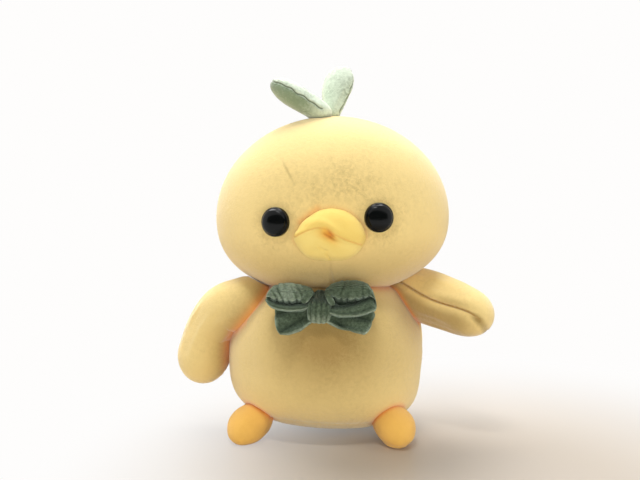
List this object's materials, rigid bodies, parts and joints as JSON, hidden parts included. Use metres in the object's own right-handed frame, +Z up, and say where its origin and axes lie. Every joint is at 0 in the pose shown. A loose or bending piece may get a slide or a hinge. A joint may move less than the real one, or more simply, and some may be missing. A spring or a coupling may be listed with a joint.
{
  "type": "plush chick",
  "caption": "Stuffed plush chick with a wide round head, glossy safety eyes, a sewn beak, stubby wings and feet, a ribbed bow tie and a leaf sprout; it stands on its seat and soles.",
  "frame": {"origin": "middle of the flat that the base panel makes on the shelf, straight below the body's lowest point", "axes": "+Z up through the head, -Y the way the face looks, +X to the chick's own left"},
  "size_m": [0.2011, 0.1365, 0.2243],
  "materials": {
    "yellow_plush": "short-pile plush",
    "beak_plush": "short-pile plush",
    "foot_plush": "short-pile plush",
    "leaf_plush": "short-pile plush",
    "ribbed_velvet": "ribbed velvet",
    "fibre_fill": "loose polyester fibre",
    "black_plastic": "polished",
    "white_plastic": "moulded"
  },
  "bodies": {
    "torso": {"body_front_panel": "yellow_plush", "body_back_left_panel": "yellow_plush", "body_back_right_panel": "yellow_plush", "base_panel": "yellow_plush", "body_stuffing": "fibre_fill", "bow_loops": "ribbed_velvet", "bow_tails": "ribbed_velvet", "bow_knot": "ribbed_velvet"},
    "head": {"head_face_panel": "yellow_plush", "head_back_left_panel": "yellow_plush", "head_back_right_panel": "yellow_plush", "head_stuffing": "fibre_fill", "beak_upper_panel": "beak_plush", "beak_lower_panel": "beak_plush", "beak_stuffing": "fibre_fill", "left_eye": "black_plastic", "left_eye_washer": "white_plastic", "right_eye": "black_plastic", "right_eye_washer": "white_plastic"},
    "left_wing": {"left_wing_upper_panel": "yellow_plush", "left_wing_under_panel": "yellow_plush", "left_wing_stuffing": "fibre_fill"},
    "right_wing": {"right_wing_front_panel": "yellow_plush", "right_wing_back_panel": "yellow_plush", "right_wing_stuffing": "fibre_fill"},
    "left_foot": {"left_foot_upper": "foot_plush", "left_foot_sole": "foot_plush", "left_foot_stuffing": "fibre_fill"},
    "right_foot": {"right_foot_upper": "foot_plush", "right_foot_sole": "foot_plush", "right_foot_stuffing": "fibre_fill"},
    "left_leaf": {"left_leaf_front_panel": "leaf_plush", "left_leaf_back_panel": "leaf_plush", "left_leaf_stuffing": "fibre_fill"},
    "right_leaf": {"right_leaf_front_panel": "leaf_plush", "right_leaf_back_panel": "leaf_plush", "right_leaf_stuffing": "fibre_fill"}
  },
  "joints": [
    {"name": "head_turn", "type": "hinge", "parent": "torso", "child": "head", "pos_m": [-0.00409, -0.00508, 0.13047], "axis": [0.0349, 0.1218, 0.9919], "range_deg": [-25, 25], "stiffness_Nm_per_rad": 0.8},
    {"name": "left_wing_raise", "type": "hinge", "parent": "torso", "child": "left_wing", "pos_m": [0.05509, -0.0109, 0.08308], "axis": [-0.6816, -0.723, 0.1128], "range_deg": [-20, 45], "stiffness_Nm_per_rad": 0.08},
    {"name": "right_wing_raise", "type": "hinge", "parent": "torso", "child": "right_wing", "pos_m": [-0.07401, -0.01175, 0.07619], "axis": [0, 0.9925, -0.1219], "range_deg": [0, 70], "stiffness_Nm_per_rad": 0.08},
    {"name": "left_foot_flex", "type": "hinge", "parent": "torso", "child": "left_foot", "pos_m": [0.03444, -0.05445, 0.01187], "axis": [-0.9613, -0.2756, 0], "range_deg": [-10, 14], "stiffness_Nm_per_rad": 0.1},
    {"name": "right_foot_flex", "type": "hinge", "parent": "torso", "child": "right_foot", "pos_m": [-0.05115, -0.05409, 0.01187], "axis": [-0.9613, 0.2756, 0], "range_deg": [-10, 14], "stiffness_Nm_per_rad": 0.1},
    {"name": "left_leaf_flop", "type": "hinge", "parent": "head", "child": "left_leaf", "pos_m": [-0.00793, 0.00932, 0.1944], "axis": [-0.9092, 0.4148, -0.0363], "range_deg": [-25, 25], "stiffness_Nm_per_rad": 0.01},
    {"name": "right_leaf_flop", "type": "hinge", "parent": "head", "child": "right_leaf", "pos_m": [-0.01192, -0.00363, 0.19567], "axis": [-0.3396, 0.6673, -0.6628], "range_deg": [0, 35], "stiffness_Nm_per_rad": 0.01}
  ]
}
